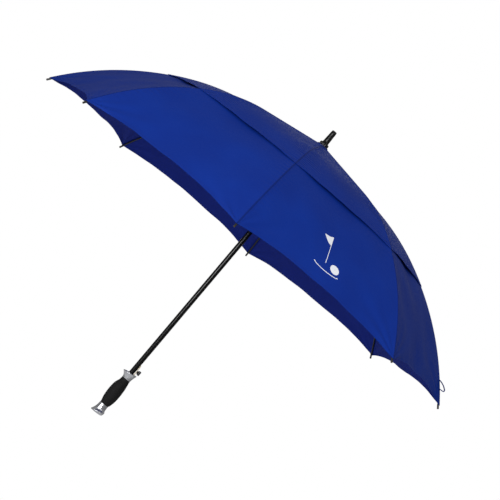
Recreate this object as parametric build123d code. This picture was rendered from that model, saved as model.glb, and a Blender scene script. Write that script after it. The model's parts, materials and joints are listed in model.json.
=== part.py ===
from build123d import *
import math
import os

# Golf umbrella with a vented double canopy, open. Millimetres.
# +Z runs up the shaft, z = 0 is the bottom of the handle, and X = Y = 0 is the shaft's axis.
# Rib 1 lies along +X, and the others follow every 45 degrees about +Z.

# driving sizes
rib_count = 8
total_height = 959.0
canopy_top = 908.6            # top of the cloth at the shaft
shaft_radius = 7.0
shaft_bore = 6.2
hinge_radius = 13.0           # the hinge wires of the crown and of the runner
wire_radius = 0.9
wire_hole = 0.98

# ribs: a straight length and two tangent arcs, slopes in degrees below the horizontal
rib_radius = 2.0
rib_start_slope = 10.3
straight_length = 220.0       # along the rib from the crown hinge to where it starts to bend
inner_curve = 580.0
outer_curve = 765.0
flex_length = 362.0           # along the rib from the crown hinge to the flex point
rib_length = 745.0            # along the rib to the corner of the cloth
strut_length = 343.0          # along the rib to the strut's clip
strut_drop = 8.5              # strut pivot below the rib's centre line
tip_length = 9.0              # how far a rib stands out of the cloth's corner

# cloth, as heights above the rib's centre line
cloth = 0.8
cloth_gap = 0.4
lower_height = 3.0
vent_height = lower_height + cloth + cloth_gap
vent_length = 434.0           # along the rib to the hem of the vent
vent_start = 5.0              # along the rib to the inner edge of the vent's cloth
lower_start = flex_length + 14.0   # along the rib to the inner edge of the lower cloth
hem_rise = 37.0               # how far the rim hem is cut back between two ribs
vent_rise = 8.0
seam_gap = 0.3

# handle
base_top = 32.0
grip_top = 118.0
trigger_pivot = (9.6, 124.5)
trigger_top = 168.3
trigger_width = 4.0
trigger_slot = 4.8

# runner
runner_below = 63.5
runner_above = 7.0
runner_radius = 10.0
runner_bore = 7.2
key_below = 10.0              # centre of the spring key below the runner's hinge wire
key_half = 5.0
fold_angle = 75.0

full_turn = 360.0
pitch = full_turn / rib_count
half_pitch = pitch / 2


def rad(angle):
    return math.radians(angle)


def slope_at(length):
    """The rib's slope at this length along it."""
    bend = max(0.0, min(length, flex_length) - straight_length) / inner_curve
    bend += max(0.0, length - flex_length) / outer_curve
    return rib_start_slope + math.degrees(bend)


flex_slope = slope_at(flex_length)
rim_slope = slope_at(rib_length)
strut_slope = slope_at(strut_length)
crown_z = canopy_top - vent_height - cloth


def arc_step(curve, start, end):
    """How far an arc of this radius moves outwards and up between two slopes."""
    return (curve * (math.sin(rad(end)) - math.sin(rad(start))), curve * (math.cos(rad(end)) - math.cos(rad(start))))


def rib_point(length, height=0.0):
    """Radius and z at this length along the rib, offset outwards by height."""
    slope = slope_at(length)
    straight = min(length, straight_length)
    inner = arc_step(inner_curve, rib_start_slope, min(slope, flex_slope))
    outer = arc_step(outer_curve, flex_slope, max(slope, flex_slope))
    radius = hinge_radius + straight * math.cos(rad(rib_start_slope)) + inner[0] + outer[0]
    z = crown_z - straight * math.sin(rad(rib_start_slope)) + inner[1] + outer[1]
    return (radius + height * math.sin(rad(slope)), z + height * math.cos(rad(slope)))


strut_pivot = rib_point(strut_length, -strut_drop)
runner_z = 2 * strut_pivot[1] - crown_z
strut_reach = math.hypot(strut_pivot[0] - hinge_radius, crown_z - strut_pivot[1])
strut_angle = math.degrees(math.asin((crown_z - strut_pivot[1]) / strut_reach))
runner_closed_z = crown_z - 2 * strut_reach * math.sin(rad(strut_angle + fold_angle))


def spot(point, across=0.0):
    return Vector(point[0], across, point[1])


def down_slope(slope):
    return Vector(math.cos(rad(slope)), 0, -math.sin(rad(slope)))


def side_plane(point, slope):
    """A plane on edge to the rib: its X runs down the slope, and its normal is +Y."""
    return Plane(origin=spot(point), x_dir=down_slope(slope), z_dir=(0, 1, 0))


def rod(start, middle, end, slope, radius):
    path = ThreePointArc(spot(start), spot(middle), spot(end))
    section = Plane(origin=spot(start), z_dir=down_slope(slope)) * Circle(radius)
    return sweep(section, path=path)


def straight_rod(start, end, radius):
    line = spot(end) - spot(start)
    return extrude(Plane(origin=spot(start), z_dir=line) * Circle(radius), line.length)


def eye_blade(point, slope, length, height, thickness, hole):
    """A flat link with a round eye at the point, running down the slope."""
    sketch = Circle(height / 2) + Pos(length / 2, 0) * Rectangle(length, height)
    sketch -= Circle(hole)
    return extrude(side_plane(point, slope) * sketch, thickness / 2, both=True)


def side_box(point, slope, along, across, height, shift=(0, 0)):
    """A block square to the slope. The shift is along the slope, then towards the shaft."""
    sketch = Pos(*shift) * Rectangle(along, height)
    return extrude(side_plane(point, slope) * sketch, across / 2, both=True)


def side_pin(point, radius, length):
    return extrude(side_plane(point, 0) * Circle(radius), length / 2, both=True)


def wire_octagon(z):
    """A hinge wire bent to an octagon, with a straight side across each rib."""
    corner = hinge_radius / math.cos(rad(half_pitch))
    side = 2 * hinge_radius * math.tan(rad(half_pitch))
    wire = Part()
    for i in range(rib_count):
        bar = Pos(hinge_radius, 0, z) * Rot(X=90) * Cylinder(wire_radius, side)
        ball = Pos(corner * math.cos(rad(half_pitch)), corner * math.sin(rad(half_pitch)), z) * Sphere(wire_radius)
        wire += Rot(Z=pitch * i) * (bar + ball)
    return wire


# ---- ribs and struts ----

blade_length = 10.0
blade_height = 4.4
crown_blade = 2.2
clip_length = 12.0
clip_width = 8.0
clip_slot = 3.2
rivet_radius = 1.2
fork_length = 10.0
fork_width = 6.4
fork_height = 5.0
fork_slot = 2.4
fork_depth = 3.6
flex_blade = 1.8


def inner_rod():
    bend = rib_point(straight_length)
    end = flex_length - fork_depth
    bent = rod(bend, rib_point((straight_length + end) / 2), rib_point(end), rib_start_slope, rib_radius)
    return straight_rod(rib_point(blade_length - 1), bend, rib_radius) + bent


def strut_clip():
    """The moulded clip that is crimped under the rib and carries the strut's rivet."""
    point = rib_point(strut_length)
    top = 1.0
    bottom = strut_drop + 2.6
    height = top + bottom
    block = side_box(point, strut_slope, clip_length, clip_width, height, (0, (bottom - top) / 2))
    gap = side_box(point, strut_slope, clip_length + 2, clip_slot, bottom, (0, 3.4 + bottom / 2))
    clip = block - gap - inner_rod()
    return clip - side_pin(strut_pivot, rivet_radius, clip_width + 2)


def rivet():
    head = 0.9
    shank = side_pin(strut_pivot, rivet_radius, clip_width + 2 * head)
    heads = side_pin(strut_pivot, 2.1, clip_width + 2 * head) - side_pin(strut_pivot, 3, clip_width)
    return shank + heads


def rib_inner():
    slope = rib_start_slope
    blade = eye_blade((hinge_radius, crown_z), slope, blade_length, blade_height, crown_blade, wire_hole)
    point = rib_point(flex_length)
    fork = side_box(point, flex_slope, fork_length, fork_width, fork_height, (-fork_length / 2, 0))
    fork += side_pin(point, fork_height / 2, fork_width)
    cut = side_box(point, flex_slope, fork_depth + 6, fork_slot, fork_height + 2, (3 - fork_depth / 2, 0))
    bar = inner_rod() + blade + (fork - cut) + side_pin(point, wire_radius, fork_width)
    return [bar, strut_clip(), rivet()]


def rib_outer():
    point = rib_point(flex_length)
    start = flex_length + blade_length - 2
    end = rib_length + tip_length - 3
    bar = rod(rib_point(start), rib_point((start + end) / 2), rib_point(end), slope_at(start), rib_radius)
    bar += eye_blade(point, flex_slope, blade_length, blade_height, flex_blade, wire_hole)
    return [bar, rib_tip(end)]


def rib_tip(end):
    """The cap on the rib's end that the corner of the cloth is sewn to."""
    foot = rib_point(end - 11)
    head = rib_point(end + 3)
    cap = straight_rod(foot, head, 2.6)
    cap = fillet(cap.edges().sort_by(Axis.Z)[0], 1.2)
    start = end - 13
    blind = rod(rib_point(start), rib_point(end - 6), rib_point(end), slope_at(start), rib_radius)
    return cap - blind


def strut():
    slope = 180 - strut_angle
    away = Vector(-math.cos(rad(strut_angle)), 0, -math.sin(rad(strut_angle)))
    outer_eye = eye_blade(strut_pivot, slope, blade_length, 5.0, 2.6, rivet_radius + 0.06)
    runner_eye = (hinge_radius, runner_z)
    inner_eye = eye_blade(runner_eye, -strut_angle, blade_length, blade_height, 2.0, wire_hole)
    first = spot(strut_pivot) + away * (blade_length - 2)
    last = spot(runner_eye) - away * (blade_length - 1)
    bar = straight_rod((first.X, first.Z), (last.X, last.Z), 1.8)
    return [bar + outer_eye + inner_eye]


# ---- cloth ----

def cloth_section(stops, height, turn, shift):
    """One cut through a gore, as a closed band along these lengths of the rib. turn 0 is over the rib,
    and a half pitch is the middle of the gap between two ribs, where the cloth is nearer to the shaft."""
    share = math.cos(rad(half_pitch)) if turn else 1.0
    across = Vector(-math.sin(rad(turn)), math.cos(rad(turn)), 0) * shift

    def place(length, level):
        radius, z = rib_point(length, level)
        return Vector(radius * share * math.cos(rad(turn)), radius * share * math.sin(rad(turn)), z) + across

    edges = []
    for level, lengths in ((height, stops), (height + cloth, stops[::-1])):
        for first, last in zip(lengths, lengths[1:]):
            middle = (first + last) / 2
            if middle < straight_length:
                edges.append(Line(place(first, level), place(last, level)))
            else:
                edges.append(ThreePointArc(place(first, level), place(middle, level), place(last, level)))
        edges.append(Line(place(lengths[-1], height), place(lengths[-1], height + cloth)))
    return make_face(edges)


def gore(stops, height, rise):
    """The cloth on both sides of one rib, out to the middle of each gap, as one closed solid. Its hem
    is cut back by the rise between the ribs."""
    sections = []
    for side in (-1, 0, 1):
        cut = stops[:-1] + [stops[-1] - rise * abs(side)]
        sections.append(cloth_section(cut, height, half_pitch * side, -seam_gap * side))
    return [loft(sections, ruled=True)]


def lower_gore():
    return gore([lower_start, rib_length], lower_height, hem_rise)


def vent_gore():
    return gore([vent_start, straight_length, flex_length, vent_length], vent_height, vent_rise)


# ---- crown and runner ----

def slotted_hub(low, high, radius, slot_low, slot_high, slot_width, slot_floor=10.3):
    hub = Pos(0, 0, low) * Cylinder(radius, high - low, align=(Align.CENTER, Align.CENTER, Align.MIN))
    hub = fillet(outer_edges(hub), 0.8)
    for i in range(rib_count):
        depth = radius + 2 - slot_floor
        slot = Box(depth, slot_width, slot_high - slot_low, align=(Align.MIN, Align.CENTER, Align.MIN))
        hub -= Rot(Z=pitch * i) * Pos(slot_floor, 0, slot_low) * slot
    return hub


def tube(low, high, outer, inner):
    return Pos(0, 0, low) * extrude(Circle(outer) - Circle(inner), high - low)


def outer_edges(ring):
    """The widest circles of a turned piece, the lowest first."""
    return ring.edges().filter_by(GeomType.CIRCLE).group_by(SortBy.RADIUS)[-1].sort_by(Axis.Z)


def crown():
    hub = slotted_hub(crown_z - 7, crown_z + 4, 17.0, crown_z - 9, crown_z + 3, 2.8)
    neck = tube(crown_z - 16, crown_z - 6.5, 9.4, shaft_radius)
    hub = hub - Pos(0, 0, crown_z) * Cylinder(shaft_radius, 30) + neck
    return [hub - wire_octagon(crown_z)]


def runner():
    low = runner_z - runner_below
    hub = slotted_hub(runner_z - 5, runner_z + runner_above, 16.5, runner_z - 3, runner_z + 9, 2.6)
    sleeve = tube(low, runner_z + runner_above, runner_radius, runner_bore)
    thumb_ring = tube(low, low + 6, 12.5, runner_bore)
    thumb_ring = fillet(outer_edges(thumb_ring), 1.4)
    collar = tube(runner_z - 14, runner_z - 4.5, 12.5, runner_bore)
    body = hub - Pos(0, 0, runner_z) * Cylinder(runner_bore, 40) + sleeve + thumb_ring + collar
    keyway = Pos(8, 0, low - 1) * Box(14, 5.4, 19, align=(Align.CENTER, Align.CENTER, Align.MIN))
    return [body - keyway - wire_octagon(runner_z) - key_arm()]


def key_arm():
    z = runner_z - key_below
    return Pos(0, 0, z) * Box(3.0, runner_radius, 2 * key_half - 2, align=(Align.CENTER, Align.MIN, Align.CENTER))


def spring_key():
    """The plug that the opening spring pushes, with an arm through the shaft's slot to the runner."""
    plug = Pos(0, 0, runner_z - key_below) * Cylinder(6.12, 2 * key_half)
    return [plug + key_arm()]


# ---- shaft and springs ----

shaft_top = canopy_top + 22.0
seat_low = 38.0
seat_high = 44.0


def shaft():
    body = tube(base_top, shaft_top, shaft_radius, shaft_bore)
    slot_low = runner_closed_z - key_below - key_half - 2
    slot_high = runner_z - key_below + key_half + 2
    key_slot = Pos(0, shaft_radius, (slot_low + slot_high) / 2) * Box(3.6, 6, slot_high - slot_low)
    trigger_way = Pos(shaft_radius, 0, 132) * Box(6, trigger_slot, 42, align=(
        Align.CENTER, Align.CENTER, Align.MIN))
    return [body - key_slot - trigger_way]


def opening_spring():
    """The long spring in the shaft, drawn as a tube with a ring for each few turns."""
    low = seat_high + 0.2
    high = runner_z - key_below - key_half - 0.2
    turns = 60
    step = (high - low) / (2 * turns)
    points = []
    for i in range(2 * turns + 1):
        points.append((3.0 if i % 2 else 2.6, low + step * i))
    points += [(1.9, high), (1.9, low)]
    profile = make_face(Plane.XZ * Polyline(*points, close=True))
    return [revolve(profile, Axis.Z)]


def spring_seat():
    return [Pos(0, 0, seat_low) * extrude(Circle(shaft_bore) - Circle(1.5), seat_high - seat_low)]


# ---- top ----

def rosette():
    """The cap washer that holds the cloth down on the crown."""
    low = canopy_top + 0.5
    washer = Pos(0, 0, low) * extrude(Circle(16.2) - Circle(shaft_radius), 1.8)
    return [fillet(outer_edges(washer)[-1], 1.2)]


def ferrule():
    """The moulded tip over the shaft's end: a ribbed base ring, a neck and a long taper."""
    low = canopy_top + 2.4
    rows = [(12.4, low), (12.9, low + 1.5), (12.9, low + 4.5), (11.6, low + 6.0)]
    rows += [(9.6, low + 7.0), (8.9, low + 10.0), (8.0, total_height - 8.0)]
    rows += [(7.6, total_height - 1.6), (6.6, total_height - 0.3), (5.6, total_height)]
    outline = Polyline((0, low), *rows, (0, total_height), close=True)
    body = revolve(make_face(Plane.XZ * outline), Axis.Z)
    bore = Pos(0, 0, low - 1) * Cylinder(shaft_radius, shaft_top - low + 1.05, align=(
        Align.CENTER, Align.CENTER, Align.MIN))
    flute = Pos(13.6, 0, low + 3) * Cylinder(1.5, 8)
    flutes = [Rot(Z=full_turn / 16 * i) * flute for i in range(16)]
    return [body - bore - flutes]


# ---- handle ----

def ring_at(z, radius, centre=0.0, tilt=0.0):
    """A circle across the handle. A positive tilt lowers its -X side."""
    return Pos(centre, 0, z) * Rot(Y=-tilt) * Circle(radius)


def handle_core(low, high):
    return Pos(0, 0, low) * Cylinder(shaft_radius, high - low, align=(Align.CENTER, Align.CENTER, Align.MIN))


def grip():
    rows = [(base_top, 12.9, -1.4), (35, 13.7, -0.8), (50, 17.1, -0.9), (72, 18.5, -1.2)]
    rows += [(98, 16.4, -1.0), (106, 13.8, 0.2), (grip_top, 12.2, 0.0)]
    body = loft([ring_at(z, radius, centre) for z, radius, centre in rows])
    return [body - handle_core(base_top - 1, grip_top + 1)]


def handle_collar():
    """The flared metal cup above the grip. Its floor carries the trigger's pivot."""
    rim = ring_at(136, 19.3, -2.2, 8.3)
    outside = loft([ring_at(grip_top, 12.2), ring_at(124, 13.4, -0.4), ring_at(130, 15.8, -1.2), rim])
    hollow = loft([ring_at(129.5, 13.2, -1.2), ring_at(137, 18.2, -2.3, 8.3)])
    cup = outside - hollow - handle_core(grip_top - 1, 140)
    pocket = Pos(9.9, 0, 120.4) * Box(6.6, trigger_slot, 20, align=(Align.CENTER, Align.CENTER, Align.MIN))
    pin_hole = Pos(trigger_pivot[0], 0, trigger_pivot[1]) * Rot(X=90) * Cylinder(1.2, 11)
    return [cup - pocket - pin_hole]


def handle_base():
    """The flared metal foot, whose end is tilted and slightly domed."""
    flare = ring_at(6.2, 19.0, -3.6, -9.6)
    body = loft([flare, ring_at(13, 14.6, -2.4, -3), ring_at(22, 13.1, -2.0), ring_at(base_top, 12.6, -1.7)])
    foot = loft([Pos(-5, 0, 0) * Circle(9.5), flare], ruled=True)
    spigot = Pos(0, 0, base_top - 1) * Cylinder(6.1, 5, align=(Align.CENTER, Align.CENTER, Align.MIN))
    return [body + foot + spigot]


# ---- trigger ----

def trigger_lever():
    """The catch lever: pivoted in the collar, with its nose through the shaft's slot."""
    x, z = trigger_pivot
    arm = Polyline(
        (x - 2.0, z), (x - 2.0, 152), (6.5, 158), (6.5, trigger_top), (8.4, trigger_top),
        (9.4, trigger_top - 1.5), (9.4, 161), (x, 155), (x + 1.2, z), close=True)
    plate = make_face(Plane.XZ * arm) + Plane.XZ * (Pos(x, z) * Circle(2.6))
    plate -= Plane.XZ * (Pos(x, z) * Circle(1.27))
    return [extrude(plate, trigger_width / 2, both=True)]


def release_button():
    """The thumb button on the lever, clear of the collar's rim."""
    body = Pos(16.2, 0, 149.5) * Box(7.0, 9.0, 12.6)
    body = fillet(body.edges().filter_by(Axis.Z), 2.6)
    body = fillet(body.edges().group_by(Axis.Z)[-1] + body.edges().group_by(Axis.Z)[0], 1.4)
    stem = Pos(11.2, 0, 149.5) * Box(4.4, trigger_width, 8.0)
    return [body + (stem - trigger_lever()[0])]


def trigger_pin():
    return [Pos(trigger_pivot[0], 0, trigger_pivot[1]) * Rot(X=90) * Cylinder(1.2, 11)]


def trigger_spring():
    """A bent leaf that pushes the lever outwards, between the shaft's wall and the lever."""
    leaf = Polyline((4.9, 140), (5.3, 140), (5.5, 146), (7.2, 149), (7.2, 151.4), (6.9, 151.4), (6.9, 149.1),
                    (5.2, 146.2), close=True)
    return [extrude(make_face(Plane.XZ * leaf), 1.6, both=True)]


# ---- tie strap ----

def tie_strap():
    """A loop of the canopy's cloth sewn on over rib 1 near the rim."""
    height = lower_height + cloth + 0.3
    length = rib_length - 66.0
    a, b = rib_point(length, height), rib_point(length + 34, height)
    top = rib_point(length + 22, height + 15.0)
    inner_a, inner_b = rib_point(length + 3, height), rib_point(length + 31, height)
    inner_top = rib_point(length + 21.5, height + 13.2)
    outline = Polyline(*[spot(p) for p in (a, top, b, inner_b, inner_top, inner_a)], close=True)
    return [extrude(make_face(outline), 7.0, both=True, dir=(0, 1, 0))]


def save(name, solids):
    group = Compound(label=name, children=solids)
    export_step(group, f"parts/{name}.step")


def main():
    os.makedirs("parts", exist_ok=True)
    single = {
        "shaft": shaft(), "ferrule": ferrule(), "canopy_rosette": rosette(), "crown": crown(),
        "crown_wire": [wire_octagon(crown_z)], "runner": runner(), "runner_wire": [wire_octagon(runner_z)],
        "spring_key": spring_key(), "opening_spring": opening_spring(), "spring_seat": spring_seat(),
        "handle_collar": handle_collar(), "grip": grip(), "handle_base": handle_base(),
        "trigger_lever": trigger_lever(), "release_button": release_button(), "trigger_pin": trigger_pin(),
        "trigger_spring": trigger_spring(), "tie_strap": tie_strap(),
    }
    for name, solids in single.items():
        save(name, solids)
    repeated = {
        "rib": rib_inner(), "rib_outer": rib_outer(), "strut": strut(),
        "canopy_panel": lower_gore(), "vent_panel": vent_gore(),
    }
    for name, solids in repeated.items():
        for i in range(rib_count):
            save(f"{name}_{i + 1}", [Rot(Z=pitch * i) * s for s in solids])
    print("crown z", crown_z, "runner z", runner_z, "closed", runner_closed_z, "strut", strut_reach, strut_angle)
    print("strut pivot", strut_pivot, "flex point", rib_point(flex_length), "rim", rib_point(rib_length), rim_slope)


main()
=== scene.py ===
import json
import bpy
import bmesh
import numpy as np
from mathutils import Matrix, Vector


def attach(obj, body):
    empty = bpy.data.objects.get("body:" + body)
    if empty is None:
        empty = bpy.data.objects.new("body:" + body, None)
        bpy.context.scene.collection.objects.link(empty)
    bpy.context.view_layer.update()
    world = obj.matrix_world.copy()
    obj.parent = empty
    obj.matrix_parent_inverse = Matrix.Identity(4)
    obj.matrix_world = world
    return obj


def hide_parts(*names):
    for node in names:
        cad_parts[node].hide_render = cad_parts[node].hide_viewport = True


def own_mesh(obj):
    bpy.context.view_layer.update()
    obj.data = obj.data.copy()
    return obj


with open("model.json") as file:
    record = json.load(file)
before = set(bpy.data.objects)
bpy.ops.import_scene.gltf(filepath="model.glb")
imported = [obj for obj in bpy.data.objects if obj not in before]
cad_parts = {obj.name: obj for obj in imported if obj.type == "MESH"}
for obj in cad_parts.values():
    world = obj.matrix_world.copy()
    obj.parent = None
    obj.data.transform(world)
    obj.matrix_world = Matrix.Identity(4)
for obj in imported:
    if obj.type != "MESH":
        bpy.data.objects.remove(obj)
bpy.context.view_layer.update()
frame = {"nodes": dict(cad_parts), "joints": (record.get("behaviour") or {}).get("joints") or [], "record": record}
joints = {joint["name"]: joint for joint in frame["joints"]}
bodyOf = {node: body for body, nodes in frame["record"]["behaviour"]["bodies"].items() for node in nodes}
zUp = np.array([0.0, 0.0, 1.0])


# helpers for meshes

def smoothStep(x):
    # 0 below 0, 1 above 1, an S curve between
    x = np.clip(x, 0.0, 1.0)
    return x * x * (3.0 - 2.0 * x)


def smoothRows(rows, count):
    # cubic curves through the rows, one column a value, with the slope at a row that of its neighbours
    rows = np.asarray(rows, float)
    steps = np.linalg.norm(np.diff(rows[:, :2], axis=0), axis=1)
    knots = np.concatenate([[0.0], np.cumsum(steps)])
    slopes = np.gradient(rows, knots, axis=0)
    at = np.linspace(0.0, knots[-1], count)
    left = np.clip(np.searchsorted(knots, at, side="right") - 1, 0, len(rows) - 2)
    span = (knots[left + 1] - knots[left])[:, None]
    t = (at - knots[left])[:, None] / span
    a, b = rows[left], rows[left + 1]
    return ((2 * t ** 3 - 3 * t ** 2 + 1) * a + (t ** 3 - 2 * t ** 2 + t) * span * slopes[left]
            + (3 * t ** 2 - 2 * t ** 3) * b + (t ** 3 - t ** 2) * span * slopes[left + 1])


def makePiece(name, points, faces, sharpAngle=40.0):
    # points is (n, 3); faces is a list of equal-width index arrays
    mesh = bpy.data.meshes.new(name)
    mesh.from_pydata(points.tolist(), [], [face for block in faces for face in block.tolist()])
    mesh.update()
    mesh.polygons.foreach_set("use_smooth", np.ones(len(mesh.polygons), bool))
    mesh.set_sharp_from_angle(angle=np.radians(sharpAngle))
    piece = bpy.data.objects.new(name, mesh)
    bpy.context.scene.collection.objects.link(piece)
    return piece


def gridFaces(rows, columns, wrap=False):
    # quads of a rows by columns grid, anticlockwise where the column turns from the row
    across = np.arange(columns if wrap else columns - 1)
    i, j = np.meshgrid(np.arange(rows - 1), across, indexing="ij")
    k = (j + 1) % columns
    near, far = i * columns, (i + 1) * columns
    return np.stack([near + j, far + j, far + k, near + k], -1).reshape(-1, 4)


def turnedSolid(name, rings, sharpAngle=40.0):
    # rings is (rows, columns, 3), anticlockwise seen from the last ring; both ends close on their middle
    rows, columns = rings.shape[:2]
    points = np.vstack([rings.reshape(-1, 3), rings[0].mean(0), rings[-1].mean(0)])
    sides = gridFaces(rows, columns, wrap=True)[:, ::-1]
    here = np.arange(columns)
    there = (here + 1) % columns
    first = np.stack([there, here, np.full(columns, rows * columns)], -1)
    last = np.stack([here, there, np.full(columns, rows * columns + 1)], -1)
    last[:, :2] += (rows - 1) * columns
    return makePiece(name, points, [sides, first, last], sharpAngle)


def sweptBand(name, path, sideways, halfWidth, thickness):
    # a flat band along path: each station is a rectangle, wide along sideways and thick square to the path
    heading = np.gradient(path, axis=0)
    heading /= np.linalg.norm(heading, axis=1)[:, None]
    normal = np.cross(heading, sideways)
    normal /= np.linalg.norm(normal, axis=1)[:, None]
    corners = [(-1, -1), (1, -1), (1, 1), (-1, 1)]
    rings = np.stack([path + a * halfWidth * sideways + b * thickness / 2 * normal for a, b in corners], 1)
    return turnedSolid(name, rings, 40.0)


# camera

cameraSet = {
    "place": (0.24016, -4.5229, 0.4514),
    "right": (0.76431, 0.01720, 0.64461),
    "down": (0.64317, 0.05169, -0.76398),
    "lens": 125.5,
}


def makeCamera():
    right = Vector(cameraSet["right"]).normalized()
    down = Vector(cameraSet["down"])
    down = (down - right * down.dot(right)).normalized()
    back = right.cross(-down)
    turn = Matrix((right, -down, back)).transposed()
    camera = bpy.data.objects.new("camera", bpy.data.cameras.new("camera"))
    bpy.context.scene.collection.objects.link(camera)
    camera.matrix_world = Matrix.Translation(cameraSet["place"]) @ turn.to_4x4()
    camera.data.lens = cameraSet["lens"]
    camera.data.sensor_width = 36.0
    bpy.context.scene.camera = camera


makeCamera()
print("camera placed")


# shader groups

class Tree:
    # a node tree with short calls: add a node with its values, link by socket
    def __init__(self, tree):
        self.tree = tree

    def add(self, kind, values=None, **settings):
        node = self.tree.nodes.new(kind)
        for key, value in settings.items():
            setattr(node, key, value)
        for key, value in (values or {}).items():
            if isinstance(value, bpy.types.NodeSocket):
                self.tree.links.new(value, node.inputs[key])
            else:
                node.inputs[key].default_value = value
        return node

    def math(self, operation, a, b=0.0, c=0.0):
        return self.add("ShaderNodeMath", {0: a, 1: b, 2: c}, operation=operation).outputs[0]

    def mix(self, share, a, b):
        node = self.add("ShaderNodeMix", {"Factor": share, "A": a, "B": b}, data_type="FLOAT")
        return node.outputs[0]

    def mixColour(self, share, a, b, how="MIX"):
        node = self.add("ShaderNodeMix", {0: share, 6: a, 7: b}, data_type="RGBA", blend_type=how)
        return node.outputs[2]

    def stretch(self, value, low, high, toLow=0.0, toHigh=1.0):
        return self.add("ShaderNodeMapRange", {0: value, 1: low, 2: high, 3: toLow, 4: toHigh}).outputs[0]

    def link(self, a, b):
        self.tree.links.new(a, b)


def newGroup(name, inputs, outputs):
    # inputs and outputs are (name, socket type, value) rows
    tree = bpy.data.node_groups.new(name, "ShaderNodeTree")
    for label, kind, value in inputs:
        socket = tree.interface.new_socket(label, in_out="INPUT", socket_type=kind)
        if value is not None:
            socket.default_value = value
    for label, kind in outputs:
        tree.interface.new_socket(label, in_out="OUTPUT", socket_type=kind)
    made = Tree(tree)
    return made, made.add("NodeGroupInput").outputs, made.add("NodeGroupOutput").inputs


def weaveGroup():
    # plain weave: two crossed sine ridges that take turns on top, in metres of the cloth's own map
    t, given, result = newGroup(
        "weave",
        [("Place", "NodeSocketVector", None), ("Pitch", "NodeSocketFloat", 0.0006)],
        [("Height", "NodeSocketFloat")],
    )
    apart = t.add("ShaderNodeSeparateXYZ", {0: given["Place"]})
    turns = t.math("DIVIDE", 6.28318, given["Pitch"])
    warp = t.math("SINE", t.math("MULTIPLY", apart.outputs[0], turns))
    weft = t.math("SINE", t.math("MULTIPLY", apart.outputs[1], turns))
    t.link(t.math("MULTIPLY", warp, weft), result["Height"])
    return t.tree


def stitchGroup():
    # a dashed line at a given distance from an edge: Distance across it, Along down it
    t, given, result = newGroup(
        "stitches",
        [("Distance", "NodeSocketFloat", 0.0), ("Along", "NodeSocketFloat", 0.0),
         ("Line", "NodeSocketFloat", 0.003), ("Width", "NodeSocketFloat", 0.0005),
         ("Pitch", "NodeSocketFloat", 0.003)],
        [("Mask", "NodeSocketFloat")],
    )
    off = t.math("ABSOLUTE", t.math("SUBTRACT", given["Distance"], given["Line"]))
    across = t.math("SUBTRACT", 1.0, t.math("SMOOTH_MIN", 1.0, t.math("DIVIDE", off, given["Width"]), 0.2))
    dash = t.math("FRACT", t.math("DIVIDE", given["Along"], given["Pitch"]))
    ends = t.math("COMPARE", dash, 0.5, 0.34)
    t.link(t.math("MULTIPLY", t.math("MAXIMUM", across, 0.0), ends), result["Mask"])
    return t.tree


def grainGroup():
    # soft mottling between two sizes of noise
    t, given, result = newGroup(
        "grain",
        [("Place", "NodeSocketVector", None), ("Scale", "NodeSocketFloat", 60.0),
         ("Fine", "NodeSocketFloat", 900.0)],
        [("Broad", "NodeSocketFloat"), ("Fine", "NodeSocketFloat")],
    )
    broad = t.add("ShaderNodeTexNoise", {"Vector": given["Place"], "Scale": given["Scale"], "Detail": 3.0})
    fine = t.add("ShaderNodeTexNoise", {"Vector": given["Place"], "Scale": given["Fine"], "Detail": 2.0})
    t.link(broad.outputs[0], result["Broad"])
    t.link(fine.outputs[0], result["Fine"])
    return t.tree


def wearGroup():
    # how much an outward edge is rubbed: pointiness broken up by noise
    t, given, result = newGroup(
        "edgeWear",
        [("Place", "NodeSocketVector", None), ("Scale", "NodeSocketFloat", 300.0)],
        [("Mask", "NodeSocketFloat")],
    )
    point = t.add("ShaderNodeNewGeometry").outputs["Pointiness"]
    edge = t.stretch(point, 0.52, 0.60)
    patchy = t.add("ShaderNodeTexNoise", {"Vector": given["Place"], "Scale": given["Scale"], "Detail": 2.0})
    t.link(t.math("MULTIPLY", edge, t.stretch(patchy.outputs[0], 0.45, 0.65)), result["Mask"])
    return t.tree


groups = {"weave": weaveGroup(), "stitches": stitchGroup(), "grain": grainGroup(), "edgeWear": wearGroup()}


def newMaterial(name, **values):
    # the Principled BSDF holds the constants; the rest of the tree is wired by the caller
    material = bpy.data.materials.new(name)
    material.use_nodes = True
    t = Tree(material.node_tree)
    shader = material.node_tree.nodes["Principled BSDF"]
    for key, value in values.items():
        shader.inputs[key].default_value = value
    return material, t, shader


def useGroup(t, name, values):
    node = t.add("ShaderNodeGroup", node_tree=groups[name])
    for key, value in values.items():
        if isinstance(value, bpy.types.NodeSocket):
            t.link(value, node.inputs[key])
        else:
            node.inputs[key].default_value = value
    return node.outputs


# materials

clothLook = {
    "outside": (0.0020, 0.0270, 0.262, 1.0),
    "outsideDeep": (0.0018, 0.0235, 0.238, 1.0),
    # the underside's colour: the cloth's blue a little darker, painted shade for the canopy's shaded inside
    "inside": (0.0060, 0.0200, 0.235, 1.0),
    "thread": (0.010, 0.020, 0.190, 1.0),
    "sheenTint": (0.75, 0.78, 0.85, 1.0),
    "seamStitches": 0.0045, "hemStitches": 0.0075, "threadHeight": 0.00012,   # distances in from the edges
    "hemFold": 0.0085, "seamDark": 0.0026, "seamDarkShare": 0.55,
    "weavePitch": 0.0009, "weaveHeight": 0.00002,
    "pucker": (9.0, 75.0), "puckerHeight": 0.0011,        # waves a metre across and along, and their height
    # how wide the painted shade in the hem's fold is, how wide the painted shade along the seams is, and how
    # strong that seam shade is
    "seamFade": -55.0, "hemFade": -70.0, "broadHeight": 0.0012,
    "crease": (14.0, 22.0), "creasePitch": 0.0105, "creaseBend": 9.0, "creaseHeight": 0.0010,
}


def stretchedNoise(t, place, waves):
    # noise with its own number of waves a metre across and along the cloth
    scaled = t.add("ShaderNodeMapping", {"Vector": place, "Scale": (*waves, 1.0)}).outputs[0]
    return t.add("ShaderNodeTexNoise", {"Vector": scaled, "Scale": 1.0, "Detail": 1.0}).outputs[0]


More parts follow.
